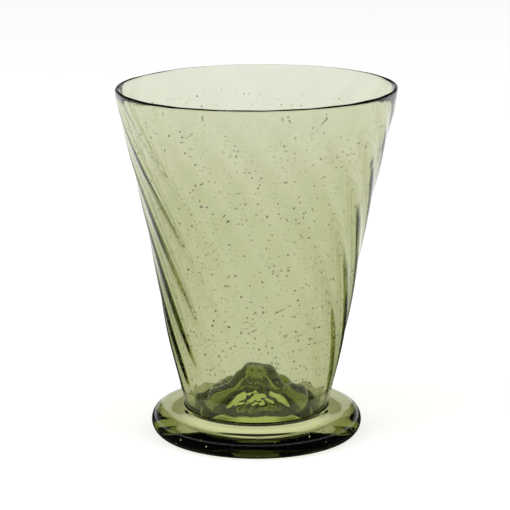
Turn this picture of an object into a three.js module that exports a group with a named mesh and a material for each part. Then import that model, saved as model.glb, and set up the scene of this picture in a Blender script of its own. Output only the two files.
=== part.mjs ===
// A free-blown drinking beaker of green forest glass, in millimetres, +Z up.
// It stands on z = 0 with its axis on +Z, and the side seen first faces -Y.
// A bearing is an angle round the axis, measured from that front towards +X.
//
// Three gathers of hot glass are fused where they touch:
//   bowl         one bubble, ribbed in a dip mould, twisted, flared, and pushed in below to a pleated kick
//   foot_ring    a thick round coil laid round the heel, on which the beaker stands
//   pontil_scar  the broken ring of glass that the pontil iron left under the kick
import * as THREE from "three";

// Bowl wall, outside
const HEIGHT = 114; // table to the top of the lip
const LIP_RADIUS = 45.1;
const WAIST_RADIUS = 35.1; // the flare starts here
const WAIST_HEIGHT = 70;
const BELLY_RADIUS = 28.4; // slight fullness above the foot
const BELLY_HEIGHT = 33;
const BASE_RADIUS = 23.3; // where the wall leaves the foot ring

// Glass of the wall
const LIP_BEAD = 2.0; // thickness of the lip, rounded in the fire
const LIP_WALL = 1.6; // just under the lip
const BASE_WALL = 2.7; // in the lower part
const THIN_SHARE = 0.55; // share of the wall, down from the lip, in which it grows from the one to the other
const LIP_TILT = 0.4; // the lip stands this much high on the right and low on the left
const DENT = 0.9; // the lip is pushed in this much at one place
const DENT_BEARING = -128; // degrees
const DENT_WIDTH = 13; // degrees, half of it
const DENT_DROP = 22; // height below the lip in which it dies out

// Twisted ribs
const RIB_COUNT = 20;
const RIB_RELIEF = 0.8; // crest to valley, outside
const RIB_INSIDE_RELIEF = 0.6; // crest to valley, inside: the wall is bent, and hardly thicker at a crest
const RIB_TWIST = 85; // degrees, foot ring to lip, leaning left as they climb
const RIB_SLACKENING = 1.3; // above 1, they lean more towards the lip
const RIB_BEARING = 4; // degrees, a crest at the lip
const RIB_FADE_AT_LIP = 8; // height in which the fire softened them
const RIB_FADE_AT_FOOT = 30; // height in which they grow, above the foot ring
const RIB_LEFT_AT_LIP = 0.25; // share of the relief that the fire left there

// Heel, floor and kick
const HEEL_RADIUS = 19.2; // the lowest circle of the bowl
const HEEL_LIFT = 3.0; // clear of the table
const FLOOR_GLASS = 3.3; // under the trough round the kick
const KICK_FOOT_RADIUS = 18.0; // the kick rises from the trough here
const SHOULDER_RADIUS = 15.8;
const SHOULDER_HEIGHT = 13.9;
const NECK_RADIUS = 8.4;
const NECK_HEIGHT = 17.0;
const CROWN_RADIUS = 4.3; // the flat top that the pontil pushed up
const CROWN_HEIGHT = 22.6;
const CROWN_ROUNDING = 0.9; // round the edge of the flat top
const CROWN_GLASS = 2.8;
const KICK_SIDE_GLASS = 3.0;
const PLEAT_COUNT = 5; // lobes of the hot floor round the kick, with a crease between each two
const PLEAT_RELIEF = 2.2;
const PLEAT_SOFTNESS = 0.14; // of a crease: 0 is a sharp fold
const PLEAT_BEARING = 3; // degrees, the middle of the front lobe
const PLEAT_UNDER_SHARE = 0.9; // of the relief, on the under face
const LUMP_RELIEF = 1.2; // one lobe stands off more than the others
const LUMP_BEARING = 90; // degrees
const LUMP_WIDTH = 40; // degrees, half of it
const LUMP_REACH = 2.4; // half of it, along the slope

// Foot ring
const FOOT_RADIUS = 34.25;
const FOOT_COIL = 9.6; // diameter of the coil
const FOOT_WEAR = 0.3; // ground off below, so that the beaker stands on a flat ring
const FOOT_CREEP = 0.4; // how far its glass crept up the wall
const FOOT_GROOVE = 3.2; // height of the groove between coil and heel, underneath
const FOOT_FULLNESS = 0.2; // how far the underside swells between the groove and the worn ring
const FOOT_WANDER = 0.15; // how far its rim strays from a true circle

// Pontil scar
const SCAR_RADIUS = 4.2;
const SCAR_DEPTH = 1.6;
const SCAR_DISH = 0.8; // the broken face is hollow in the middle
const SCAR_CHIPS = 7; // broken points round its edge
const SCAR_ROUGHNESS = 0.25;

// The three gathers are one glass on a real beaker. Here they keep this much between their faces.
const SEAM = 0.3;

// Facets
const STEPS_PER_RIB = 5;
const FOOT_STEPS = 72;
const SCAR_STEPS = 28;
const HEEL_STEPS = 8;
const WALL_STEPS = 12;
const INSIDE_STEPS = 8;
const KICK_STEPS = 12;

const coilRadius = FOOT_COIL / 2;
const coilTop = FOOT_COIL - FOOT_WEAR;
const jointHeight = coilTop + FOOT_CREEP;
const troughHeight = HEEL_LIFT + FLOOR_GLASS;

const { clamp, degToRad, lerp, smoothstep } = THREE.MathUtils;
const at = (radius, height) => new THREE.Vector2(radius, height);
const midway = (a, b) => a.clone().lerp(b, 0.5);
const bell = (distance, halfWidth) => Math.exp(-((distance / halfWidth) ** 2));

// A path moved to its right-hand side. The distance depends on the share of the path that is done.
function beside(path, distanceAt) {
  const last = path.length - 1;
  return path.map((point, i) => {
    const along = path[Math.min(i + 1, last)].clone().sub(path[Math.max(i - 1, 0)]).normalize();
    const distance = distanceAt(i / last);
    return at(point.x + along.y * distance, point.y - along.x * distance);
  });
}

// Outside of the wall, from the foot ring up to the middle of the lip bead.
function wallCurve() {
  return new THREE.SplineCurve([
    at(BASE_RADIUS, jointHeight),
    at(BELLY_RADIUS, BELLY_HEIGHT),
    at(WAIST_RADIUS, WAIST_HEIGHT),
    at(LIP_RADIUS, HEIGHT - LIP_BEAD / 2),
  ]);
}

// Inside of the wall, from under the lip to the trough. The glass is even below and thins up to the lip.
function insidePath() {
  const thickness = (climbed) => lerp(LIP_WALL, BASE_WALL, smoothstep(1 - climbed, 0, THIN_SHARE));
  const inside = beside(wallCurve().getSpacedPoints(INSIDE_STEPS), (climbed) => -thickness(climbed));
  return inside.slice(0, -1).reverse();
}

// The fire-rounded lip, from just past its outside over to its inside.
function lipArc() {
  const radius = LIP_BEAD / 2;
  return [30, 75, 120, 165].map((degrees) => {
    const angle = degToRad(degrees);
    return at(LIP_RADIUS - radius + radius * Math.cos(angle), HEIGHT - radius + radius * Math.sin(angle));
  });
}

// Outside of the heel, from its lowest circle up to where the wall leaves the foot ring.
function heelPath() {
  const rise = jointHeight - HEEL_LIFT;
  const slope = wallCurve().getTangent(0);
  const top = at(BASE_RADIUS, jointHeight);
  return new THREE.CubicBezierCurve(
    at(HEEL_RADIUS, HEEL_LIFT),
    at(lerp(HEEL_RADIUS, BASE_RADIUS, 0.75), HEEL_LIFT),
    top.clone().addScaledVector(slope, -0.5 * rise),
    top,
  ).getPoints(HEEL_STEPS);
}

// Upper face of the kick, from the trough in to the axis.
function kickTopPath() {
  const foot = at(KICK_FOOT_RADIUS, troughHeight);
  const shoulder = at(SHOULDER_RADIUS, SHOULDER_HEIGHT);
  const neck = at(NECK_RADIUS, NECK_HEIGHT);
  const flank = midway(foot, shoulder).add(at(0.5, 0));
  const ledge = midway(shoulder, neck).add(at(0, 0.4));
  const rim = at(CROWN_RADIUS, CROWN_HEIGHT).add(at(CROWN_ROUNDING, -0.7 * CROWN_ROUNDING));
  const flat = at(CROWN_RADIUS, CROWN_HEIGHT);
  const top = new THREE.SplineCurve([foot, flank, shoulder, ledge, neck, rim, flat, at(0, CROWN_HEIGHT)]);
  return top.getPoints(KICK_STEPS);
}

// Under face of the kick, from the axis out to the heel.
function kickUnderPath() {
  const crown = CROWN_HEIGHT - CROWN_GLASS;
  const neck = at(NECK_RADIUS, NECK_HEIGHT).add(at(-0.4, -0.95).multiplyScalar(KICK_SIDE_GLASS));
  const shoulder = at(SHOULDER_RADIUS, SHOULDER_HEIGHT).add(at(-1, -0.9).multiplyScalar(KICK_SIDE_GLASS));
  const hem = at(HEEL_RADIUS - KICK_SIDE_GLASS, HEEL_LIFT + 0.3 * KICK_SIDE_GLASS);
  const edge = at(0.6 * CROWN_RADIUS, crown - 0.2);
  const cheek = midway(edge, neck).add(at(0, -0.4));
  const bottom = at(HEEL_RADIUS, HEEL_LIFT);
  const face = new THREE.SplineCurve([at(0, crown), edge, cheek, neck, shoulder, hem, bottom]);
  return face.getPoints(KICK_STEPS);
}

// How far the ribs have turned round the axis at a height, counted from the lip down.
function twistAt(height) {
  const climbed = clamp((height - jointHeight) / (HEIGHT - jointHeight), 0, 1);
  return degToRad(RIB_TWIST) * (1 - climbed ** RIB_SLACKENING);
}

// Standing of a rib from -1 in the valley to 1 on the crest: crests are narrow and valleys broad.
function ribStanding(angle, height) {
  const section = 0.8 * Math.cos(RIB_COUNT * angle) + 0.2 * Math.cos(2 * RIB_COUNT * angle);
  const atFoot = smoothstep(height, jointHeight, jointHeight + RIB_FADE_AT_FOOT);
  const atLip = lerp(1, RIB_LEFT_AT_LIP, smoothstep(height, HEIGHT - RIB_FADE_AT_LIP, HEIGHT));
  return section * atFoot * atLip;
}

// Angle between two bearings, from 0 to half a turn, with the second one in degrees.
function away(bearing, degrees) {
  return Math.acos(clamp(Math.cos(bearing - degToRad(degrees)), -1, 1));
}

// Lift of the kick's upper face. Creases run down its slope between the lobes, from crown to shoulder, and
// one lobe swells at the shoulder and is pinched in at the neck.
function pleatLift(radius, bearing) {
  const round = (PLEAT_COUNT / 2) * (bearing - degToRad(PLEAT_BEARING));
  const lobe = Math.hypot(Math.cos(round), PLEAT_SOFTNESS) - 2 / Math.PI;
  const onSlope = smoothstep(radius, CROWN_RADIUS, NECK_RADIUS);
  const aboveFoot = 1 - smoothstep(radius, SHOULDER_RADIUS, KICK_FOOT_RADIUS);
  const lump = bell(away(bearing, LUMP_BEARING), degToRad(LUMP_WIDTH));
  const swell = bell(radius - SHOULDER_RADIUS + LUMP_REACH, LUMP_REACH);
  const pinch = bell(radius - NECK_RADIUS, LUMP_REACH);
  return PLEAT_RELIEF * lobe * onSlope * aboveFoot + LUMP_RELIEF * lump * (swell - pinch);
}

// The under face follows the creases further in, by the glass between. It is even where the scar sits.
function underLift(radius, bearing) {
  const follows = smoothstep(radius, SCAR_RADIUS, SCAR_RADIUS + KICK_SIDE_GLASS);
  return PLEAT_UNDER_SHARE * pleatLift(radius + KICK_SIDE_GLASS, bearing) * follows;
}

// Revolves a profile about +Z, then moves each of its points. move gets the point's radius, height and
// bearing, which it may change, and its place in the profile. A point on the axis only moves up or down.
function revolve(profile, steps, move) {
  const lathe = new THREE.LatheGeometry(profile, steps);
  lathe.deleteAttribute("normal");
  lathe.deleteAttribute("uv");
  const position = lathe.getAttribute("position");
  for (let i = 0; i < position.count; i++) {
    const place = i % profile.length;
    const column = Math.floor(i / profile.length) % steps;
    const bearing = (column / steps) * 2 * Math.PI;
    const point = { radius: profile[place].x, height: profile[place].y, bearing };
    const onAxis = point.radius === 0;
    move(point, place);
    const radius = onAxis ? 0 : point.radius;
    position.setXYZ(i, radius * Math.sin(point.bearing), -radius * Math.cos(point.bearing), point.height);
  }
  lathe.computeVertexNormals();
  return lathe;
}

function bowlGeometry() {
  const under = kickUnderPath();
  const heel = heelPath().slice(1, -1);
  const outside = wallCurve().getSpacedPoints(WALL_STEPS);
  const lip = lipArc();
  const inside = insidePath();
  const trough = at((inside.at(-1).x + KICK_FOOT_RADIUS) / 2, troughHeight);
  const profile = [...under, ...heel, ...outside, ...lip, ...inside, trough, ...kickTopPath()];

  const outsideStart = under.length + heel.length;
  const lipStart = outsideStart + outside.length;
  const insideStart = lipStart + lip.length;
  const troughStart = insideStart + inside.length;

  return revolve(profile, RIB_COUNT * STEPS_PER_RIB, (point, place) => {
    const angle = point.bearing;
    const { radius, height } = point;
    const onWall = place >= outsideStart && place < troughStart;
    point.bearing += degToRad(RIB_BEARING) + twistAt(onWall ? height : jointHeight);
    if (place < under.length) {
      point.height += underLift(radius, point.bearing);
    } else if (onWall && place < lipStart) {
      point.radius += (RIB_RELIEF / 2) * ribStanding(angle, height);
    } else if (onWall && place >= insideStart) {
      point.radius += (RIB_INSIDE_RELIEF / 2) * ribStanding(angle, height);
    } else if (place > troughStart) {
      point.height += pleatLift(radius, point.bearing);
    }
    if (onWall) {
      const climbed = Math.max(0, (height - jointHeight) / (HEIGHT - jointHeight));
      const dented = bell(away(point.bearing, DENT_BEARING), degToRad(DENT_WIDTH));
      point.height += LIP_TILT * Math.sin(point.bearing) * climbed ** 3;
      point.radius -= DENT * dented * smoothstep(height, HEIGHT - DENT_DROP, HEIGHT);
    }
  });
}

// Section of the foot ring: across its worn face, over the coil, down the heel and back along the groove.
function footProfile() {
  const seat = beside(heelPath(), () => SEAM).filter((point) => point.y > FOOT_GROOVE);
  const middle = at(FOOT_RADIUS - coilRadius, coilTop - coilRadius);
  const wornAngle = Math.asin(middle.y / coilRadius);
  const coil = new THREE.EllipseCurve(middle.x, middle.y, coilRadius, coilRadius, -wornAngle, Math.PI / 2);
  const wornInside = at(middle.x - coilRadius * Math.cos(wornAngle), 0);
  const throat = at(lerp(seat.at(-1).x, middle.x, 0.35), coilTop - 0.2);
  const underside = midway(seat[0], wornInside).add(at(0, -FOOT_FULLNESS));
  return [underside, wornInside, ...coil.getPoints(9), throat, ...seat.reverse(), underside];
}

function footGeometry() {
  const profile = footProfile();
  const inner = Math.min(...profile.map((point) => point.x));
  return revolve(profile, FOOT_STEPS, (point) => {
    const outwards = smoothstep(point.radius, inner + coilRadius, FOOT_RADIUS);
    const stray = Math.sin(2 * point.bearing + 0.7) + 0.6 * Math.sin(3 * point.bearing + 2.1);
    point.radius += (FOOT_WANDER / 1.6) * stray * outwards;
  });
}

// The scar's face against the kick at a radius.
function scarSeat(radius) {
  const seat = beside(kickUnderPath(), () => SEAM);
  const next = Math.max(1, seat.findIndex((point) => point.x > radius));
  const [a, b] = [seat[next - 1], seat[next]];
  return at(radius, lerp(a.y, b.y, (radius - a.x) / (b.x - a.x)));
}

// The scar hangs under the crown and follows it. Its broken face is dished and chipped.
function scarGeometry() {
  const seat = [1, 0.75, 0.4, 0].map((share) => scarSeat(SCAR_RADIUS * share));
  const brokenHeight = seat[0].y - SCAR_DEPTH;
  const broken = [
    at(0, brokenHeight + SCAR_DISH),
    at(SCAR_RADIUS * 0.4, brokenHeight + SCAR_DISH),
    at(SCAR_RADIUS * 0.75, brokenHeight),
    at(SCAR_RADIUS * 0.95, brokenHeight + SCAR_DEPTH * 0.4),
  ];
  return revolve([...broken, ...seat], SCAR_STEPS, (point, place) => {
    if (place < broken.length && point.radius > 0) {
      const chip = Math.sin(SCAR_CHIPS * point.bearing) * Math.cos(3 * point.bearing + 1);
      point.height += SCAR_ROUGHNESS * chip;
      point.radius -= SCAR_ROUGHNESS * Math.abs(chip);
    }
  });
}

function glass(color, roughness) {
  const seeThrough = { transparent: true, opacity: 0.45 };
  return new THREE.MeshStandardMaterial({ color, roughness, metalness: 0, ...seeThrough });
}

function gather(name, geometry, material) {
  const mesh = new THREE.Mesh(geometry, material);
  mesh.name = name;
  return mesh;
}

const beaker = new THREE.Group();
beaker.add(gather("bowl", bowlGeometry(), glass(0xb9be8c, 0.04)));
beaker.add(gather("foot_ring", footGeometry(), glass(0x8f9856, 0.05)));
beaker.add(gather("pontil_scar", scarGeometry(), glass(0x9aa36a, 0.35)));

export default beaker;
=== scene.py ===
"""A free-blown beaker of green forest glass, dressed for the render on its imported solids, in metres.

The bowl, the foot ring and the pontil scar are modelled again on the sizes of the faceted solids, with a
blown surface: soft twisted ribs, a fire-rounded lip, seeds in the glass and a broken pontil mark.
"""
import math
import random

import bpy
from mathutils import Matrix, Vector


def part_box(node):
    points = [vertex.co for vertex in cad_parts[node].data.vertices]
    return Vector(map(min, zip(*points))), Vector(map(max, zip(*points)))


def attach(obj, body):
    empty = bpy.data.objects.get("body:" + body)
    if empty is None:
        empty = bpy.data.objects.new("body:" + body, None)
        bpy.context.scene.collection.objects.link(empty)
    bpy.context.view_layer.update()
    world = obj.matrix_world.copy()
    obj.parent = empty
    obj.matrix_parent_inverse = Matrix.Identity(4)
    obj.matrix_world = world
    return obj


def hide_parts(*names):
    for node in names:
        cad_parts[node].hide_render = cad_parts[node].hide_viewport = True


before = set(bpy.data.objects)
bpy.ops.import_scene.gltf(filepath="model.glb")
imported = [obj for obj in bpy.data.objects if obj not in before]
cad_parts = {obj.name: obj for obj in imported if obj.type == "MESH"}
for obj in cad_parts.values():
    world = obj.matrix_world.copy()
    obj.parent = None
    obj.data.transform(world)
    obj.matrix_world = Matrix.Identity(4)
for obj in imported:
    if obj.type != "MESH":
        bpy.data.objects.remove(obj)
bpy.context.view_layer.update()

MM = 0.001

# Sizes read from the solids
BOWL_LOW, BOWL_HIGH = (Vector(corner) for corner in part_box("bowl"))
FOOT_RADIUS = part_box("foot_ring")[1][0]

# Bowl
LIP_TILT = 0.35 * MM
LIP_HEIGHT = BOWL_HIGH.z - 2 * LIP_TILT
LIP_DENT = 0.9 * MM
LIP_DENT_BEARING = math.radians(-128)
LIP_DENT_SPREAD = 0.22
LIP_DENT_REACH = 22 * MM
LIP_RADIUS = BOWL_HIGH.x - 0.05 * MM
LIP_BEAD = 1.7 * MM
HEEL_HEIGHT = BOWL_LOW.z
HEEL_RADIUS = 19.2 * MM
HEEL_FLATNESS = 0.75
HEEL_ROUNDNESS = 0.5
BASE_RADIUS = 23.3 * MM
BELLY = (28.4 * MM, 33 * MM)
WAIST = (35.1 * MM, 70 * MM)
LIP_WALL = 1.6 * MM
BASE_WALL = 2.7 * MM
THIN_SHARE = 0.44

# Ribs
RIBS = 20
COLUMNS_PER_RIB = 3
RIB_RELIEF = 0.8 * MM
RIB_RELIEF_INSIDE = -0.6 * MM
RIB_TWIST = math.radians(85)
RIB_TWIST_CURVE = 1.3
RIB_BEARING = math.radians(4)
RIB_FADE = 30 * MM
RIB_FADE_AT_LIP = 8 * MM
RIB_LOSS_AT_LIP = 0.75
CREST_WIDTH = 0.1
SKIN = 0.5 * MM
WALL_DEPTH = 4 * MM

# Kick
CROWN_HEIGHT = 22.6 * MM
KICK_SIDE = 3.0 * MM
KICK_SHOULDER = 15.8 * MM
KICK_NECK = 8.4 * MM
CROWN_RADIUS = 4.3 * MM
PLEATS = 5
PLEAT_RELIEF = 2.2 * MM
PLEAT_BEARING = math.radians(3)
PLEAT_SOFTNESS = 0.02
PLEAT_MIDDLE = 0.62
PLEAT_START = (4.5 * MM, 8.5 * MM)
PLEAT_END = (15.5 * MM, 18 * MM)
LUMP_RELIEF = 1.2 * MM
LUMP_BEARING = math.radians(90)
LUMP_SPREAD = 0.7
LUMP_SWELL = (KICK_SHOULDER - 2.2 * MM, 2.6 * MM)
LUMP_PINCH = (KICK_NECK + 0.6 * MM, 2 * MM)
UNDER_SHARE = 0.9
SAG = 2.5 * MM
SAG_RADIUS = (12 * MM, 5 * MM)
SAG_SPREAD = 0.45
KICK_DENTS = 0.8 * MM
KICK_DENT_SIZE = 1.5 * MM
KICK_DENT_SPREAD = 0.6
KICK_DENT_START = (2 * MM, 3 * MM)
KICK_DENT_END = (12 * MM, 14 * MM)
KICK_DENT_TOP = 22 * MM
TROUGH_HEIGHT = HEEL_HEIGHT + 3.3 * MM
TROUGH_RADIUS = 18 * MM

# Foot ring
COIL_RADIUS = 4.8 * MM
COIL_WEAR = 0.3 * MM
COIL_TOP = 2 * COIL_RADIUS - COIL_WEAR
JOINT_HEIGHT = COIL_TOP + 0.4 * MM
GROOVE_HEIGHT = 3.4 * MM
THROAT = ((0.6, 0.1 * MM), (0.3, 0.25 * MM))
UNDERSIDE = ((0.3, -0.2 * MM), (0.6, -0.2 * MM))
HAIRLINE = 0.03 * MM
SEAM_REACH = 0.35 * MM

# Pontil scar
BREAK_HEIGHT = 16.8 * MM
BREAK_RADIUS = 1 * MM
CHIPS = 0.35 * MM
CHIPPED_SHARE = 0.9

# Seeds
WALL_SEEDS = 2250
KICK_SEEDS = 12
COIL_SEEDS = 130
SEED_RADIUS = 0.13 * MM
SEED_GROWTH = 0.28 * MM
SEED_REACH = (0.03, 0.93)
SEED_DEPTH = (0.4, 0.6)
WALL_SEED_STRETCH = (1, 1.3)
COIL_SEED_STRETCH = (1, 2)
KICK_SEED_SHARE = 0.8
COIL_SEED_SHARE = 0.65

# Glass: the colour that its thickness takes on, and how much of it
GLASS_IOR = 1.5
GLASS_SPECULAR = 0.12
GLASS_COLOUR = (0.63, 0.66, 0.29, 1)
GLASS_DENSITY = 245.0
COIL_DENSITY = 105.0
GLASS_SHADOW = (0.96, 0.97, 0.94, 1)
BROKEN_SHADOW = (0.9, 0.92, 0.85, 1)
SEAM_SHADOW = (1, 1, 1, 1)
KICK_TINT = (0.68, 0.76, 0.38, 1)
SEAM_TINT = (0.25, 0.28, 0.12, 1)
POLISHED_BUMP = 0.1 * MM
BROKEN_BUMP = 0.6 * MM

# Floor: as it looks under the beaker, with painted shade and a painted green shadow there, and from there
# out
FLOOR_SIDE = 8
FLOOR_DROP = 0.02 * MM
FLOOR_COLOUR = (0.8, 0.8, 0.8, 1)
FLOOR_LIFT = 0.55
SHADE_WIDTH = 13 * MM
SHADE_DEPTH = 7.5 * MM
SHADE_FORWARD = 7 * MM
SHADE_EDGE = (0.8, 1.05)
SHADE_STRENGTH = 0.03
# Painted green shadow: seen through the glass, the floor under the beaker is tinted green, lighter in front
# and darker to the sides
GREEN_SHADOW_EDGE = (22 * MM, 30 * MM)
GREEN_SHADOW_DEEPENS = (-15 * MM, 5 * MM)
GREEN_SHADOW_DARKENS = (5 * MM, 12 * MM)
GREEN_SHADOW_FRONT = (1.0, 1.0, 0.78, 1)
GREEN_SHADOW_MIDDLE = (1.0, 1.0, 0.7, 1)
GREEN_SHADOW_SIDES = (0.35, 0.38, 0.16, 1)
# Painted shade: mirrored in the glass, the floor is dark close to the beaker
MIRRORED_EDGE = (0.1, 0.25)
MIRRORED_STRENGTH = 0.03

# Room, by the height of a direction
SOFT_LIGHT = 0.45
MIRRORED_CEILING = (0.0, 0.25)
MIRRORED_CEILING_STRENGTH = 0.03
CEILING = (0.9, 1.0)
CEILING_STRENGTH = 0.5
LAMP_AIM = Vector((0, 0, 0.05))

# Camera, fitted to the photograph's perspective
IMAGE_SIDE = 510
FOCAL_PIXELS = 2594.7
CAMERA_PLACE = (-0.47 * MM, -813.4 * MM, 250.2 * MM)
CAMERA_PITCH = 0.2310


def curve_through(points, steps):
    """Evenly spaced points of a smooth curve that passes through all the given ones."""
    dense = []
    padded = [2 * points[0] - points[1], *points, 2 * points[-1] - points[-2]]
    for a, b, c, d in zip(padded, padded[1:], padded[2:], padded[3:]):
        for i in range(24):
            t = i / 24
            eased = 2 * b + (c - a) * t + (2 * a - 5 * b + 4 * c - d) * t**2
            dense.append(0.5 * (eased + (3 * b - a - 3 * c + d) * t**3))
    dense.append(points[-1].copy())
    lengths = [0.0]
    for a, b in zip(dense, dense[1:]):
        lengths.append(lengths[-1] + (b - a).length)
    spaced = []
    for i in range(steps + 1):
        goal = lengths[-1] * i / steps
        j = max(k for k, length in enumerate(lengths) if length <= goal + 1e-12)
        j = min(j, len(dense) - 2)
        share = (goal - lengths[j]) / max(lengths[j + 1] - lengths[j], 1e-12)
        spaced.append(dense[j].lerp(dense[j + 1], share))
    return spaced


def beside(path, distance_at):
    """A path moved to its right-hand side by a distance that depends on the share of it that is done."""
    last = len(path) - 1
    moved = []
    for i, point in enumerate(path):
        along = (path[min(i + 1, last)] - path[max(i - 1, 0)]).normalized()
        distance = distance_at(i / last)
        moved.append(Vector((point.x + along.y * distance, point.y - along.x * distance)))
    return moved


def smooth(value, low, high):
    """A soft step from 0 at the low value to 1 at the high one."""
    share = min(max((value - low) / (high - low), 0), 1)
    return share * share * (3 - 2 * share)


def hump(value, middle, width):
    """A soft hump of height 1 at the middle."""
    return math.exp(-(((value - middle) / width) ** 2))


def twist_at(height):
    """Turn of the ribs at a height, from the full twist at the foot to none at the lip."""
    climbed = min(max((height - JOINT_HEIGHT) / (LIP_HEIGHT - JOINT_HEIGHT), 0), 1)
    return RIB_TWIST * (1 - climbed**RIB_TWIST_CURVE)


def wall_path(steps):
    """Outside of the wall, from the foot ring up to the lip."""
    return curve_through(
        [
            Vector((BASE_RADIUS, JOINT_HEIGHT)),
            Vector(BELLY),
            Vector(WAIST),
            Vector((LIP_RADIUS, LIP_HEIGHT - LIP_BEAD / 2)),
        ],
        steps,
    )


def wall_at(climbed):
    """Thickness of the wall: even in its lower part, and thinner up to the lip."""
    return LIP_WALL + (BASE_WALL - LIP_WALL) * smooth(1 - climbed, 0, THIN_SHARE)


def heel_path(steps):
    """Outside of the heel, from its lowest circle up to where the wall leaves the foot ring."""
    wall = wall_path(20)
    slope = (wall[1] - wall[0]).normalized()
    a = Vector((HEEL_RADIUS, HEEL_HEIGHT))
    b = Vector((HEEL_RADIUS + HEEL_FLATNESS * (BASE_RADIUS - HEEL_RADIUS), HEEL_HEIGHT))
    d = Vector((BASE_RADIUS, JOINT_HEIGHT))
    c = d - slope * HEEL_ROUNDNESS * (JOINT_HEIGHT - HEEL_HEIGHT)
    points = []
    for i in range(steps + 1):
        t = i / steps
        points.append((1 - t) ** 3 * a + 3 * (1 - t) ** 2 * t * b + 3 * (1 - t) * t**2 * c + t**3 * d)
    return points


def under_path(steps):
    """Under face of the kick, from beside the axis out to the heel."""
    return curve_through(
        [
            Vector((0.8, 19.9)) * MM,
            Vector((2.6, 19.7)) * MM,
            Vector((5.0, 16.4)) * MM,
            Vector((6.8, 13.9)) * MM,
            Vector((12.6, 11.4)) * MM,
            Vector((14.6, 7.0)) * MM,
            Vector((15.8, 3.8)) * MM,
            Vector((HEEL_RADIUS, HEEL_HEIGHT)),
        ],
        steps,
    )


def kick_path(steps):
    """Upper face of the kick, from the trough in to beside the axis."""
    return curve_through(
        [
            Vector((TROUGH_RADIUS, TROUGH_HEIGHT)),
            Vector((17.4, 10.1)) * MM,
            Vector((15.8, 13.9)) * MM,
            Vector((12.1, 15.9)) * MM,
            Vector((8.4, 17.0)) * MM,
            Vector((5.2, 22.0)) * MM,
            Vector((4.2 * MM, CROWN_HEIGHT)),
            Vector((0.8 * MM, CROWN_HEIGHT + 0.1 * MM)),
        ],
        steps,
    )


def lip_arc():
    """Rounded top of the lip, from its outer side over to its inner side."""
    radius = LIP_BEAD / 2
    middle = Vector((LIP_RADIUS - radius, LIP_HEIGHT - radius))
    angles = map(math.radians, (36, 72, 108, 144))
    return [middle + radius * Vector((math.cos(angle), math.sin(angle))) for angle in angles]


def pick(piece):
    bpy.ops.object.select_all(action="DESELECT")
    bpy.context.view_layer.objects.active = piece
    piece.select_set(True)


def edit(piece):
    pick(piece)
    bpy.ops.object.mode_set(mode="EDIT")


def object_mode():
    bpy.ops.object.mode_set(mode="OBJECT")


def apply_modifier(piece, name, kind, **settings):
    modifier = piece.modifiers.new(name, kind)
    for key, value in settings.items():
        setattr(modifier, key, value)
    pick(piece)
    bpy.ops.object.modifier_apply(modifier=name)


def draw_out_rings(name, profile, columns, turn_at):
    """A disc on the axis, whose rim is drawn out ring by ring along the profile and closed on the axis."""
    bpy.ops.object.select_all(action="DESELECT")
    bpy.ops.mesh.primitive_circle_add(
        vertices=columns, radius=profile[0].x, fill_type="TRIFAN", location=(0, 0, profile[0].y)
    )
    piece = bpy.context.object
    piece.name = name
    bpy.ops.object.transform_apply(location=True, rotation=True, scale=True)
    edit(piece)
    bpy.ops.mesh.select_all(action="SELECT")
    bpy.ops.transform.rotate(value=-turn_at(0), orient_axis="Z", center_override=(0, 0, 0))
    bpy.ops.mesh.region_to_loop()
    for i in range(1, len(profile)):
        before, after = profile[i - 1], profile[i]
        bpy.ops.mesh.extrude_edges_move(TRANSFORM_OT_translate={"value": (0, 0, after.y - before.y)})
        widening = after.x / before.x
        bpy.ops.transform.resize(value=(widening, widening, 1), center_override=(0, 0, after.y))
        turn = turn_at(i) - turn_at(i - 1)
        if turn:
            bpy.ops.transform.rotate(value=-turn, orient_axis="Z", center_override=(0, 0, after.y))
    bpy.ops.mesh.extrude_edges_move(TRANSFORM_OT_translate={"value": (0, 0, 0)})
    bpy.ops.mesh.merge(type="CENTER")
    bpy.ops.mesh.select_all(action="SELECT")
    bpy.ops.mesh.normals_make_consistent(inside=False)
    object_mode()
    return piece


def weigh(piece, name, weight_of):
    """A vertex group whose weights come from each vertex's place."""
    group = piece.vertex_groups.new(name=name)
    for vertex in piece.data.vertices:
        weight = weight_of(vertex.co)
        if weight > 0:
            group.add([vertex.index], min(weight, 1), "REPLACE")


def around(bearing, radius, height):
    """A place by its bearing, which is 0 in front and grows to the right."""
    return Vector((radius * math.sin(bearing), -radius * math.cos(bearing), height))


def bearing_of(place):
    return math.atan2(place.x, -place.y)


def turn_from(bearing, place):
    """Turn from a bearing to that of a place, between half a turn back and half a turn on."""
    turn = bearing_of(place) - bearing
    return math.atan2(math.sin(turn), math.cos(turn))


def pleat_lift(place):
    """Lift of the kick's upper face: creases between its lobes, one of which stands off on the right."""
    radius = math.hypot(place.x, place.y)
    turned = bearing_of(place) - PLEAT_BEARING
    lobes = math.sqrt(math.cos(PLEATS / 2 * turned) ** 2 + PLEAT_SOFTNESS) - PLEAT_MIDDLE
    slope = smooth(radius, *PLEAT_START) * (1 - smooth(radius, *PLEAT_END))
    lump = hump(turn_from(LUMP_BEARING, place), 0, LUMP_SPREAD)
    lump *= hump(radius, *LUMP_SWELL) - hump(radius, *LUMP_PINCH)
    sag = hump(bearing_of(place), 0, SAG_SPREAD) * hump(radius, *SAG_RADIUS)
    return PLEAT_RELIEF * lobes * slope + LUMP_RELIEF * lump - SAG * sag


def under_lift(place):
    """Lift of its under face, which follows the creases further in."""
    radius = math.hypot(place.x, place.y)
    above = place * ((radius + KICK_SIDE) / max(radius, 0.01 * MM))
    return UNDER_SHARE * pleat_lift(above) * smooth(radius, 0, CROWN_RADIUS)


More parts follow.
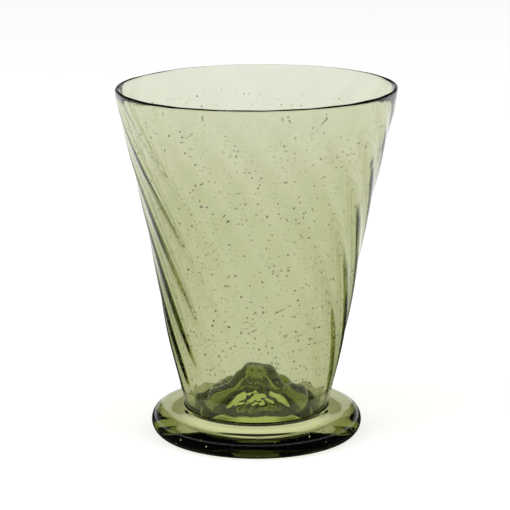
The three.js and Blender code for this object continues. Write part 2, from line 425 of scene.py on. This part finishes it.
def make_bowl():
    heel_steps, wall_steps = 7, 20
    under = under_path(11)
    heel = heel_path(heel_steps)[1:-1]
    outside = wall_path(wall_steps)
    inside = beside(wall_path(wall_steps), lambda done: -wall_at(done))
    inside = inside[:-1][::-1]
    trough = [Vector(((inside[-1].x + TROUGH_RADIUS) / 2, TROUGH_HEIGHT))]
    kick = kick_path(14)
    kick_upper = kick + trough
    profile = under + heel + outside + lip_arc() + inside + trough + kick
    wall_start = len(under) + len(heel)
    wall_end = len(profile) - len(kick) - len(trough)

    def turn_at(i):
        on_wall = wall_start <= i < wall_end
        return RIB_BEARING + twist_at(profile[i].y if on_wall else JOINT_HEIGHT)

    bowl = draw_out_rings("bowl_glass", profile, RIBS * COLUMNS_PER_RIB, turn_at)
    wall_line = wall_path(200)

    def below_skin(place):
        outer = min(wall_line, key=lambda point: abs(point.y - place.z)).x
        return outer - math.hypot(place.x, place.y)

    def is_outside(place):
        return place.z > JOINT_HEIGHT + SKIN and below_skin(place) < SKIN

    def is_inside(place):
        return place.z > JOINT_HEIGHT + SKIN and SKIN <= below_skin(place) < WALL_DEPTH

    # Columns were drawn from the primitive's first vertex, on +Y, so a column's bearing starts at the back.
    def crest(place):
        turned = (bearing_of(place) - math.pi - RIB_BEARING - twist_at(place.z)) * RIBS / (2 * math.pi)
        return abs(turned - round(turned)) < CREST_WIDTH

    def rib_strength(height):
        at_foot = smooth(height, JOINT_HEIGHT, JOINT_HEIGHT + RIB_FADE)
        at_lip = 1 - RIB_LOSS_AT_LIP * smooth(height, LIP_HEIGHT - RIB_FADE_AT_LIP, LIP_HEIGHT)
        return at_foot * at_lip

    weigh(bowl, "crests_outside", lambda p: rib_strength(p.z) if is_outside(p) and crest(p) else 0)
    weigh(bowl, "crests_inside", lambda p: rib_strength(p.z) if is_inside(p) and crest(p) else 0)
    for group, relief in (("crests_outside", RIB_RELIEF), ("crests_inside", RIB_RELIEF_INSIDE)):
        apply_modifier(bowl, group, "DISPLACE", vertex_group=group, strength=relief, mid_level=0)

    def is_under(place):
        spot = Vector((math.hypot(place.x, place.y), place.z))
        return min(under + kick_upper, key=lambda point: (point - spot).length) in under

    def lift(vertex):
        beyond = math.hypot(vertex.co.x, vertex.co.y) > TROUGH_RADIUS + 0.1 * MM
        if beyond or vertex.co.z > CROWN_HEIGHT + 1 * MM:
            return 0
        return under_lift(vertex.co) if is_under(vertex.co) else pleat_lift(vertex.co)

    lifts = [lift(vertex) for vertex in bowl.data.vertices]
    highest = max(map(abs, lifts))
    for name, sign in (("swells", 1), ("pinches", -1)):
        group = bowl.vertex_groups.new(name=name)
        for vertex, height in zip(bowl.data.vertices, lifts):
            if sign * height > 0:
                group.add([vertex.index], sign * height / highest, "REPLACE")
        apply_modifier(
            bowl, name, "DISPLACE", vertex_group=name, strength=sign * highest, mid_level=0, direction="Z"
        )

    def high_side(place):
        to_right = 0.5 + 0.5 * place.x / LIP_RADIUS
        return to_right * smooth(place.z, 0.5 * LIP_HEIGHT, LIP_HEIGHT)

    weigh(bowl, "high_side", high_side)
    apply_modifier(
        bowl, "lip_tilt", "DISPLACE", vertex_group="high_side", strength=2 * LIP_TILT,
        mid_level=0, direction="Z",
    )

    def dented(place):
        climbed = smooth(place.z, LIP_HEIGHT - LIP_DENT_REACH, LIP_HEIGHT)
        return climbed * hump(turn_from(LIP_DENT_BEARING, place), 0, LIP_DENT_SPREAD)

    dent_centre = around(LIP_DENT_BEARING, 1, 0)
    weigh(bowl, "dent", dented)
    for axis, share in (("X", dent_centre.x), ("Y", dent_centre.y)):
        apply_modifier(
            bowl, "dent_" + axis, "DISPLACE", vertex_group="dent", strength=-LIP_DENT * share,
            mid_level=0, direction=axis,
        )
    apply_modifier(bowl, "smooth", "SUBSURF", levels=2, render_levels=2)
    dent_kick(bowl)
    return bowl


def dent_kick(bowl):
    """The kick's under face is uneven on the side where the iron pushed it up."""
    under = under_path(40)
    upper = kick_path(40)
    texture = bpy.data.textures.new("dents", "CLOUDS")
    texture.noise_scale = KICK_DENT_SIZE
    texture.noise_depth = 1

    def uneven(place):
        radius = math.hypot(place.x, place.y)
        if not KICK_DENT_START[0] < radius < KICK_DENT_END[1] or place.z > KICK_DENT_TOP:
            return 0
        below = min(under, key=lambda point: abs(point.x - radius)).y
        above = min(upper, key=lambda point: abs(point.x - radius)).y
        if abs(place.z - below) > abs(place.z - above):
            return 0
        in_front = hump(bearing_of(place), 0, KICK_DENT_SPREAD)
        return in_front * smooth(radius, *KICK_DENT_START) * (1 - smooth(radius, *KICK_DENT_END))

    weigh(bowl, "dents", uneven)
    apply_modifier(
        bowl, "dents", "DISPLACE", vertex_group="dents", strength=KICK_DENTS, mid_level=0.5,
        texture=texture, texture_coords="LOCAL",
    )


def heel_radius(height):
    """Outside radius of the heel at a height between its lowest circle and the foot ring's upper edge."""
    line = heel_path(60)
    return min(line, key=lambda point: abs(point.y - height)).x


def coil_middle():
    return Vector((FOOT_RADIUS - COIL_RADIUS, COIL_TOP - COIL_RADIUS))


def make_foot_ring():
    """A coil of glass: its section is laid out on a circle of points, pressed on the heel, and spun."""
    seat = beside(heel_path(9), lambda done: HAIRLINE)
    seat = [point for point in seat if point.y > GROOVE_HEIGHT]
    middle = coil_middle()
    worn = math.asin(middle.y / COIL_RADIUS)
    coil = []
    for i in range(13):
        angle = -worn + (worn + math.pi / 2) * i / 12
        coil.append(middle + COIL_RADIUS * Vector((math.cos(angle), math.sin(angle))))
    worn_inside = Vector((middle.x - COIL_RADIUS * math.cos(worn), 0))
    edge = seat[-1].x
    throat = [Vector((edge + (middle.x - edge) * share, COIL_TOP - drop)) for share, drop in THROAT]
    under = [seat[0].lerp(worn_inside, share) + Vector((0, drop)) for share, drop in UNDERSIDE]
    section = [*coil, *throat, *seat[::-1], *under, worn_inside, worn_inside.lerp(coil[0], 0.5)]

    bpy.ops.object.select_all(action="DESELECT")
    bpy.ops.mesh.primitive_circle_add(vertices=len(section), radius=COIL_RADIUS)
    ring = bpy.context.object
    ring.name = "foot_coil"
    for vertex, point in zip(ring.data.vertices, section):
        vertex.co = (point.x, 0, point.y)
    edit(ring)
    bpy.ops.mesh.select_all(action="SELECT")
    bpy.ops.mesh.spin(steps=72, angle=2 * math.pi, center=(0, 0, 0), axis=(0, 0, 1))
    bpy.ops.mesh.select_all(action="SELECT")
    bpy.ops.mesh.remove_doubles(threshold=0.001 * MM)
    bpy.ops.mesh.normals_make_consistent(inside=False)
    object_mode()
    apply_modifier(ring, "smooth", "SUBSURF", levels=2, render_levels=2)
    return ring


def make_scar():
    """The ring of glass left by the iron: a disc drawn down to a broken, dished face."""
    profile = [
        Vector((0.6, 16.6)) * MM,
        Vector((1.8, 16.5)) * MM,
        Vector((2.8, 16.0)) * MM,
        Vector((3.5, 15.6)) * MM,
        Vector((3.95, 16.0)) * MM,
        Vector((4.15, 16.9)) * MM,
        Vector((3.7, 18.2)) * MM,
        Vector((2.6, 18.85)) * MM,
        Vector((0.6, 18.9)) * MM,
    ]
    scar = draw_out_rings("pontil_break", profile, 28, lambda i: 0)
    scar_random = random.Random(5)
    for vertex in scar.data.vertices:
        if vertex.co.z < BREAK_HEIGHT and math.hypot(vertex.co.x, vertex.co.y) > BREAK_RADIUS:
            vertex.co.z += scar_random.uniform(-CHIPS, CHIPS)
            shrink = scar_random.uniform(CHIPPED_SHARE, 1)
            vertex.co.x *= shrink
            vertex.co.y *= shrink
    apply_modifier(scar, "smooth", "SUBSURF", levels=1, render_levels=1)
    return scar


def add_node(tree, kind, x, y, **settings):
    node = tree.nodes.new(kind)
    node.location = (x, y)
    for key, value in settings.items():
        setattr(node, key, value)
    return node


def ramp(tree, x, y, span, start=0.0, end=1.0):
    """A node for a soft step from the start value to the end value over a span."""
    node = add_node(tree, "ShaderNodeMapRange", x, y, interpolation_type="SMOOTHSTEP")
    for name, value in zip(("From Min", "From Max", "To Min", "To Max"), (*span, start, end)):
        node.inputs[name].default_value = value
    return node


def make_worked_glass_group():
    """Cords, tool waves and fire polish of hand-worked glass, on a piece's Object coordinates."""
    group = bpy.data.node_groups.new("worked_glass", "ShaderNodeTree")
    sockets = group.interface
    for name, kind, start in (
        ("Tint Light", "NodeSocketColor", (0.99, 0.99, 0.98, 1)),
        ("Tint Deep", "NodeSocketColor", (0.91, 0.915, 0.89, 1)),
        ("Cord Scale", "NodeSocketFloat", 260.0),
        ("Cord Stretch", "NodeSocketFloat", 0.1),
        ("Lean", "NodeSocketFloat", -13.0),
        ("Wave Scale", "NodeSocketFloat", 70.0),
        ("Roughness Low", "NodeSocketFloat", 0.0),
        ("Roughness High", "NodeSocketFloat", 0.04),
    ):
        socket = sockets.new_socket(name=name, in_out="INPUT", socket_type=kind)
        socket.default_value = start
    sockets.new_socket(name="Tint", in_out="OUTPUT", socket_type="NodeSocketColor")
    sockets.new_socket(name="Roughness", in_out="OUTPUT", socket_type="NodeSocketFloat")
    sockets.new_socket(name="Height", in_out="OUTPUT", socket_type="NodeSocketFloat")

    given = add_node(group, "NodeGroupInput", -1200, 0)
    made = add_node(group, "NodeGroupOutput", 600, 0)
    place = add_node(group, "ShaderNodeTexCoord", -1200, 400)
    split = add_node(group, "ShaderNodeSeparateXYZ", -1000, 400)
    turn = add_node(group, "ShaderNodeMath", -850, 250, operation="MULTIPLY")
    lean = add_node(group, "ShaderNodeVectorRotate", -650, 400, rotation_type="Z_AXIS")
    squeeze = add_node(group, "ShaderNodeCombineXYZ", -650, 150)
    stretched = add_node(group, "ShaderNodeVectorMath", -450, 350, operation="MULTIPLY")
    cords = add_node(group, "ShaderNodeTexNoise", -250, 350)
    waves = add_node(group, "ShaderNodeTexNoise", -250, 50)
    cords.inputs["Detail"].default_value = 3
    cords.inputs["Roughness"].default_value = 0.45
    waves.inputs["Detail"].default_value = 2
    squeeze.inputs["X"].default_value = 1
    squeeze.inputs["Y"].default_value = 1
    link = group.links.new
    link(place.outputs["Object"], split.inputs[0])
    link(split.outputs["Z"], turn.inputs[0])
    link(given.outputs["Lean"], turn.inputs[1])
    link(place.outputs["Object"], lean.inputs["Vector"])
    link(turn.outputs[0], lean.inputs["Angle"])
    link(given.outputs["Cord Stretch"], squeeze.inputs["Z"])
    link(lean.outputs[0], stretched.inputs[0])
    link(squeeze.outputs[0], stretched.inputs[1])
    link(stretched.outputs[0], cords.inputs["Vector"])
    link(given.outputs["Cord Scale"], cords.inputs["Scale"])
    link(place.outputs["Object"], waves.inputs["Vector"])
    link(given.outputs["Wave Scale"], waves.inputs["Scale"])

    tint = add_node(group, "ShaderNodeMix", 200, 300, data_type="RGBA")
    link(cords.outputs["Fac"], tint.inputs["Factor"])
    link(given.outputs["Tint Light"], tint.inputs[6])
    link(given.outputs["Tint Deep"], tint.inputs[7])
    polish = add_node(group, "ShaderNodeMapRange", 200, 0)
    polish.inputs["From Min"].default_value = 0.35
    polish.inputs["From Max"].default_value = 0.7
    link(waves.outputs["Fac"], polish.inputs["Value"])
    link(given.outputs["Roughness Low"], polish.inputs["To Min"])
    link(given.outputs["Roughness High"], polish.inputs["To Max"])
    surface = add_node(group, "ShaderNodeMath", 200, -250, operation="MULTIPLY_ADD")
    surface.inputs[1].default_value = 0.5
    link(cords.outputs["Fac"], surface.inputs[0])
    link(waves.outputs["Fac"], surface.inputs[2])
    link(tint.outputs[2], made.inputs["Tint"])
    link(polish.outputs[0], made.inputs["Roughness"])
    link(surface.outputs[0], made.inputs["Height"])
    return group


WORKED_GLASS = make_worked_glass_group()


def forest_glass(name, shadow, bump_depth, ior=GLASS_IOR, density=GLASS_DENSITY, **group_values):
    """Green glass: a clear worked surface round glass that absorbs red, green and most of all blue."""
    material = bpy.data.materials.new(name)
    material.use_nodes = True
    tree = material.node_tree
    tree.nodes.clear()
    output = add_node(tree, "ShaderNodeOutputMaterial", 700, 0)
    surface = add_node(tree, "ShaderNodeBsdfPrincipled", 100, 0)
    surface.inputs["Transmission Weight"].default_value = 1
    surface.inputs["IOR"].default_value = ior
    surface.inputs["Specular IOR Level"].default_value = GLASS_SPECULAR
    through = add_node(tree, "ShaderNodeBsdfTransparent", 100, 300)
    through.inputs["Color"].default_value = shadow
    path = add_node(tree, "ShaderNodeLightPath", 100, 700)
    mix = add_node(tree, "ShaderNodeMixShader", 450, 100)
    inside = add_node(tree, "ShaderNodeVolumeAbsorption", 450, -250)
    inside.inputs["Color"].default_value = GLASS_COLOUR
    inside.inputs["Density"].default_value = density
    link = tree.links.new
    if group_values:
        worked = add_node(tree, "ShaderNodeGroup", -500, 0, node_tree=WORKED_GLASS)
        for key, value in group_values.items():
            worked.inputs[key.replace("_", " ").title()].default_value = value
        bump = add_node(tree, "ShaderNodeBump", -200, -200)
        bump.inputs["Distance"].default_value = bump_depth
        link(worked.outputs["Tint"], surface.inputs["Base Color"])
        link(worked.outputs["Roughness"], surface.inputs["Roughness"])
        link(worked.outputs["Height"], bump.inputs["Height"])
        link(bump.outputs[0], surface.inputs["Normal"])
    else:
        surface.inputs["Base Color"].default_value = SEAM_TINT
        surface.inputs["Roughness"].default_value = 0
    link(path.outputs["Is Shadow Ray"], mix.inputs[0])
    link(surface.outputs[0], mix.inputs[1])
    link(through.outputs[0], mix.inputs[2])
    link(mix.outputs[0], output.inputs["Surface"])
    link(inside.outputs[0], output.inputs["Volume"])
    return material


def deepen_kick(material):
    """The glass gathered in the kick is a deeper green than the wall that was blown out thin."""
    tree = material.node_tree
    surface = next(node for node in tree.nodes if node.type == "BSDF_PRINCIPLED")
    worked = next(node for node in tree.nodes if node.type == "GROUP")
    place = add_node(tree, "ShaderNodeTexCoord", -1000, 400)
    level = add_node(tree, "ShaderNodeVectorMath", -800, 400, operation="MULTIPLY")
    level.inputs[1].default_value = (1, 1, 0)
    from_axis = add_node(tree, "ShaderNodeVectorMath", -600, 400, operation="LENGTH")
    in_kick = ramp(tree, -400, 400, (HEEL_RADIUS, HEEL_RADIUS - 2 * MM))
    tint = add_node(tree, "ShaderNodeMix", -150, 300, data_type="RGBA")
    tint.inputs[7].default_value = KICK_TINT
    link = tree.links.new
    link(place.outputs["Object"], level.inputs[0])
    link(level.outputs[0], from_axis.inputs[0])
    link(from_axis.outputs["Value"], in_kick.inputs["Value"])
    link(in_kick.outputs[0], tint.inputs[0])
    link(worked.outputs["Tint"], tint.inputs[6])
    link(tint.outputs[2], surface.inputs["Base Color"])


# Blown, coiled and broken glass, and the faces where bowl and coil are one glass, which bend no light
blown_glass = forest_glass(
    "blown_glass", GLASS_SHADOW, POLISHED_BUMP, cord_scale=110.0, lean=-13.0, roughness_high=0.02,
)
coil_glass = forest_glass(
    "coil_glass", GLASS_SHADOW, POLISHED_BUMP, cord_scale=60.0, lean=0.0, cord_stretch=1.0,
    density=COIL_DENSITY,
)
deepen_kick(blown_glass)
broken_glass = forest_glass(
    "broken_glass", BROKEN_SHADOW, BROKEN_BUMP, cord_scale=900.0, cord_stretch=1.0, wave_scale=600.0,
    roughness_low=0.15, roughness_high=0.5,
)
fused_seam = forest_glass("fused_seam", SEAM_SHADOW, 0, ior=1.0)
fused_coil = forest_glass("fused_coil", SEAM_SHADOW, 0, ior=1.0, density=COIL_DENSITY)


def put_on(piece, main, second=None, is_second=None):
    """Dresses a piece in its main material, and the faces that the test picks in the second."""
    piece.data.materials.clear()
    piece.data.materials.append(main)
    if second:
        piece.data.materials.append(second)
        for face in piece.data.polygons:
            face.material_index = 1 if is_second(face.center) else 0
    pick(piece)
    bpy.ops.object.shade_smooth()


def on_heel_seam(place):
    """Whether a face lies where bowl and coil are fused, from the groove up to the joint."""
    if not GROOVE_HEIGHT + 0.15 * MM < place.z < JOINT_HEIGHT - 0.1 * MM:
        return False
    return abs(math.hypot(place.x, place.y) - heel_radius(place.z)) < SEAM_REACH


def make_seed(glass):
    """One bubble in the glass, whose faces look into it."""
    bpy.ops.object.select_all(action="DESELECT")
    bpy.ops.mesh.primitive_ico_sphere_add(subdivisions=1, radius=1)
    seed = bpy.context.object
    edit(seed)
    bpy.ops.mesh.select_all(action="SELECT")
    bpy.ops.mesh.flip_normals()
    object_mode()
    seed.data.materials.append(glass)
    bpy.ops.object.shade_smooth()
    return seed


def sow(piece, spots):
    """Copies of one seed, joined into the glass round them. A spot is place, radius, stretch, direction."""
    first = make_seed(piece.data.materials[0])
    seeds = []
    for place, radius, stretch, direction in spots:
        seed = first.copy()
        seed.data = first.data.copy()
        turn = direction.to_track_quat("X", "Z").to_matrix().to_4x4()
        size = Matrix.Diagonal((radius * stretch, radius, radius, 1))
        seed.data.transform(Matrix.Translation(place) @ turn @ size)
        bpy.context.scene.collection.objects.link(seed)
        seeds.append(seed)
    bpy.data.objects.remove(first)
    bpy.ops.object.select_all(action="DESELECT")
    for seed in seeds:
        seed.select_set(True)
    piece.select_set(True)
    bpy.context.view_layer.objects.active = piece
    bpy.ops.object.join()


def seed_size(seeds):
    """Radius of a seed: most are small and a few are large."""
    return SEED_RADIUS + SEED_GROWTH * seeds.random() ** 3


def wall_spots(count):
    """Spots for seeds within the wall, drawn out a little along its twist."""
    seeds = random.Random(11)
    line = wall_path(60)
    spots = []
    for _ in range(count):
        climbed = seeds.uniform(*SEED_REACH)
        point = line[round(climbed * 60)]
        bearing = seeds.uniform(0, 2 * math.pi)
        depth = wall_at(climbed) * seeds.uniform(*SEED_DEPTH)
        along = around(bearing + 0.2, 1, 0.3) - around(bearing, 1, 0)
        place = around(bearing, point.x - depth, point.y)
        spots.append((place, seed_size(seeds), seeds.uniform(*WALL_SEED_STRETCH), along))
    return spots


def kick_spots(count):
    """Spots for seeds half way between the faces of the kick."""
    seeds = random.Random(12)
    upper, lower = kick_path(30), under_path(30)[::-1]
    spots = []
    for _ in range(count):
        i = seeds.randrange(3, 27)
        point = upper[i].lerp(min(lower, key=lambda low: (low - upper[i]).length), 0.5)
        bearing = seeds.uniform(0, 2 * math.pi)
        place = around(bearing, point.x, point.y)
        place.z += pleat_lift(place)
        spots.append((place, KICK_SEED_SHARE * seed_size(seeds), 1, around(bearing, 1, 0)))
    return spots


def coil_spots(count):
    """Spots for seeds in the coil, drawn out in level directions."""
    seeds = random.Random(13)
    middle = coil_middle()
    spots = []
    for _ in range(count):
        angle, share = seeds.uniform(0, 2 * math.pi), 0.85 * math.sqrt(seeds.random())
        offset = COIL_RADIUS * share * Vector((math.cos(angle), math.sin(angle)))
        bearing = seeds.uniform(0, 2 * math.pi)
        place = around(bearing, middle.x + offset.x, max(middle.y + offset.y, 0.6 * MM))
        along = Vector((math.cos(bearing), math.sin(bearing), 0))
        radius = COIL_SEED_SHARE * seed_size(seeds)
        spots.append((place, radius, seeds.uniform(*COIL_SEED_STRETCH), along))
    return spots


bowl = make_bowl()
foot_ring = make_foot_ring()
scar = make_scar()

put_on(bowl, blown_glass, fused_seam, on_heel_seam)
put_on(foot_ring, coil_glass, fused_coil, on_heel_seam)
put_on(scar, broken_glass)
sow(bowl, wall_spots(WALL_SEEDS) + kick_spots(KICK_SEEDS))
sow(foot_ring, coil_spots(COIL_SEEDS))

for piece, node, slot in (
    (bowl, "bowl", "blown_glass"),
    (foot_ring, "foot_ring", "coil_glass"),
    (scar, "pontil_scar", "broken_glass"),
):
    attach(piece, "root")
    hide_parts(node)


def make_floor():
    """A white table top, which the glass shows too.

    Seen through the glass it has painted shade and a painted green shadow under the beaker, and mirrored in
    the glass it is dark close to the beaker with painted shade.
    """
    bpy.ops.object.select_all(action="DESELECT")
    bpy.ops.mesh.primitive_plane_add(size=FLOOR_SIDE, location=(0, 0, -FLOOR_DROP))
    floor = bpy.context.object
    floor.name = "floor"
    material = bpy.data.materials.new("pale_floor")
    material.use_nodes = True
    tree = material.node_tree
    tree.nodes.clear()
    output = add_node(tree, "ShaderNodeOutputMaterial", 800, 0)
    matte = add_node(tree, "ShaderNodeBsdfDiffuse", 0, 0)
    matte.inputs["Color"].default_value = FLOOR_COLOUR
    lift = add_node(tree, "ShaderNodeEmission", 0, -150)
    white = add_node(tree, "ShaderNodeMath", -200, -150, operation="MULTIPLY")
    white.inputs[1].default_value = FLOOR_LIFT
    behind = add_node(tree, "ShaderNodeEmission", 0, -300)
    mirrored = add_node(tree, "ShaderNodeEmission", 0, -450)
    place = add_node(tree, "ShaderNodeTexCoord", -1200, -300)
    split = add_node(tree, "ShaderNodeSeparateXYZ", -1000, -300)
    oval = add_node(tree, "ShaderNodeVectorMath", -1000, -800, operation="MULTIPLY_ADD")
    oval.inputs[1].default_value = (1 / SHADE_WIDTH, 1 / SHADE_DEPTH, 0)
    oval.inputs[2].default_value = (0, SHADE_FORWARD / SHADE_DEPTH, 0)
    from_shade = add_node(tree, "ShaderNodeVectorMath", -800, -800, operation="LENGTH")
    from_axis = add_node(tree, "ShaderNodeVectorMath", -800, -1100, operation="LENGTH")
    aside = add_node(tree, "ShaderNodeMath", -800, -1700, operation="ABSOLUTE")
    # Painted shade: mirrored in the glass, the floor is dark close to the beaker and plain white further
    # out
    open_floor = ramp(tree, -400, -500, MIRRORED_EDGE, start=MIRRORED_STRENGTH)
    shade = ramp(tree, -400, -800, SHADE_EDGE, start=SHADE_STRENGTH)
    # Painted green shadow under the beaker, seen through the glass: lighter in front, darker green to the
    # sides
    outwards = ramp(tree, -400, -1100, GREEN_SHADOW_EDGE)
    backwards = ramp(tree, -400, -1400, GREEN_SHADOW_DEEPENS)
    sideways = ramp(tree, -400, -1700, GREEN_SHADOW_DARKENS)
    deep = add_node(tree, "ShaderNodeMix", -300, -1500, data_type="RGBA")
    deep.inputs[6].default_value = GREEN_SHADOW_MIDDLE
    deep.inputs[7].default_value = GREEN_SHADOW_SIDES
    green_shadow = add_node(tree, "ShaderNodeMix", -200, -1300, data_type="RGBA")
    green_shadow.inputs[6].default_value = GREEN_SHADOW_FRONT
    colour = add_node(tree, "ShaderNodeMix", -100, -1100, data_type="RGBA")
    colour.inputs[7].default_value = (1, 1, 1, 1)
    path = add_node(tree, "ShaderNodeLightPath", -600, 300)
    shown = add_node(tree, "ShaderNodeAddShader", 200, 0)
    seen_in = add_node(tree, "ShaderNodeMixShader", 400, 0)
    seen_through = add_node(tree, "ShaderNodeMixShader", 600, 0)
    link = tree.links.new
    link(path.outputs["Is Camera Ray"], white.inputs[0])
    link(white.outputs[0], lift.inputs["Strength"])
    link(matte.outputs[0], shown.inputs[0])
    link(lift.outputs[0], shown.inputs[1])
    link(place.outputs["Object"], split.inputs[0])
    link(place.outputs["Object"], oval.inputs[0])
    link(oval.outputs[0], from_shade.inputs[0])
    link(from_shade.outputs["Value"], shade.inputs["Value"])
    link(place.outputs["Object"], from_axis.inputs[0])
    link(from_axis.outputs["Value"], outwards.inputs["Value"])
    link(from_axis.outputs["Value"], open_floor.inputs["Value"])
    link(open_floor.outputs[0], mirrored.inputs["Strength"])
    link(split.outputs["Y"], backwards.inputs["Value"])
    link(split.outputs["X"], aside.inputs[0])
    link(aside.outputs[0], sideways.inputs["Value"])
    link(sideways.outputs[0], deep.inputs[0])
    link(deep.outputs[2], green_shadow.inputs[7])
    link(backwards.outputs[0], green_shadow.inputs[0])
    link(outwards.outputs[0], colour.inputs[0])
    link(green_shadow.outputs[2], colour.inputs[6])
    link(colour.outputs[2], behind.inputs["Color"])
    link(shade.outputs[0], behind.inputs["Strength"])
    link(path.outputs["Is Glossy Ray"], seen_in.inputs[0])
    link(shown.outputs[0], seen_in.inputs[1])
    link(mirrored.outputs[0], seen_in.inputs[2])
    link(path.outputs["Is Transmission Ray"], seen_through.inputs[0])
    link(seen_in.outputs[0], seen_through.inputs[1])
    link(behind.outputs[0], seen_through.inputs[2])
    link(seen_through.outputs[0], output.inputs["Surface"])
    floor.data.materials.append(material)


def make_world():
    """Even soft light, a white backdrop on all sides, and a dim ceiling that the glass picks up."""
    world = bpy.data.worlds.new("studio")
    bpy.context.scene.world = world
    world.use_nodes = True
    tree = world.node_tree
    tree.nodes.clear()
    output = add_node(tree, "ShaderNodeOutputWorld", 800, 0)
    direction = add_node(tree, "ShaderNodeTexCoord", -600, 0)
    split = add_node(tree, "ShaderNodeSeparateXYZ", -400, 0)
    rise = ramp(tree, -200, 0, MIRRORED_CEILING, 1.0, MIRRORED_CEILING_STRENGTH)
    height = ramp(tree, -200, -300, CEILING, 1.0, CEILING_STRENGTH)
    soft = add_node(tree, "ShaderNodeBackground", 200, 100)
    soft.inputs["Strength"].default_value = SOFT_LIGHT
    room = add_node(tree, "ShaderNodeBackground", 200, 0)
    backdrop = add_node(tree, "ShaderNodeBackground", 200, -100)
    plain = add_node(tree, "ShaderNodeBackground", 200, -200)
    path = add_node(tree, "ShaderNodeLightPath", -400, 400)
    mirrored = add_node(tree, "ShaderNodeMixShader", 400, 200)
    through = add_node(tree, "ShaderNodeMixShader", 500, 100)
    mix = add_node(tree, "ShaderNodeMixShader", 600, 0)
    link = tree.links.new
    link(direction.outputs["Generated"], split.inputs[0])
    link(split.outputs["Z"], rise.inputs["Value"])
    link(split.outputs["Z"], height.inputs["Value"])
    link(rise.outputs[0], room.inputs["Strength"])
    link(height.outputs[0], backdrop.inputs["Strength"])
    link(path.outputs["Is Glossy Ray"], mirrored.inputs[0])
    link(soft.outputs[0], mirrored.inputs[1])
    link(room.outputs[0], mirrored.inputs[2])
    link(path.outputs["Is Transmission Ray"], through.inputs[0])
    link(mirrored.outputs[0], through.inputs[1])
    link(backdrop.outputs[0], through.inputs[2])
    link(path.outputs["Is Camera Ray"], mix.inputs[0])
    link(through.outputs[0], mix.inputs[1])
    link(plain.outputs[0], mix.inputs[2])
    link(mix.outputs[0], output.inputs["Surface"])


def make_lamp(name, place, size, energy):
    """A soft window of light that is turned to the beaker."""
    data = bpy.data.lights.new(name, "AREA")
    data.shape = "SQUARE"
    data.size = size
    data.energy = energy
    lamp = bpy.data.objects.new(name, data)
    lamp.location = place
    lamp.rotation_euler = (Vector(place) - LAMP_AIM).to_track_quat("Z", "Y").to_euler()
    lamp.visible_glossy = False
    lamp.visible_transmission = False
    bpy.context.scene.collection.objects.link(lamp)


def make_camera():
    data = bpy.data.cameras.new("camera")
    data.sensor_width = 36
    data.lens = FOCAL_PIXELS / IMAGE_SIDE * data.sensor_width
    camera = bpy.data.objects.new("camera", data)
    camera.location = CAMERA_PLACE
    camera.rotation_euler = (math.pi / 2 - CAMERA_PITCH, 0, 0)
    bpy.context.scene.collection.objects.link(camera)
    bpy.context.scene.camera = camera


make_floor()
make_world()
make_lamp("window_left", (-1.2, -0.8, 1.3), 1.0, 12)
make_lamp("window_right", (1.2, -0.6, 1.2), 1.0, 8)
make_camera()

scene = bpy.context.scene
scene.view_settings.view_transform = "Standard"
scene.cycles.max_bounces = 24
scene.cycles.transmission_bounces = 24
scene.cycles.glossy_bounces = 8
scene.cycles.transparent_max_bounces = 16
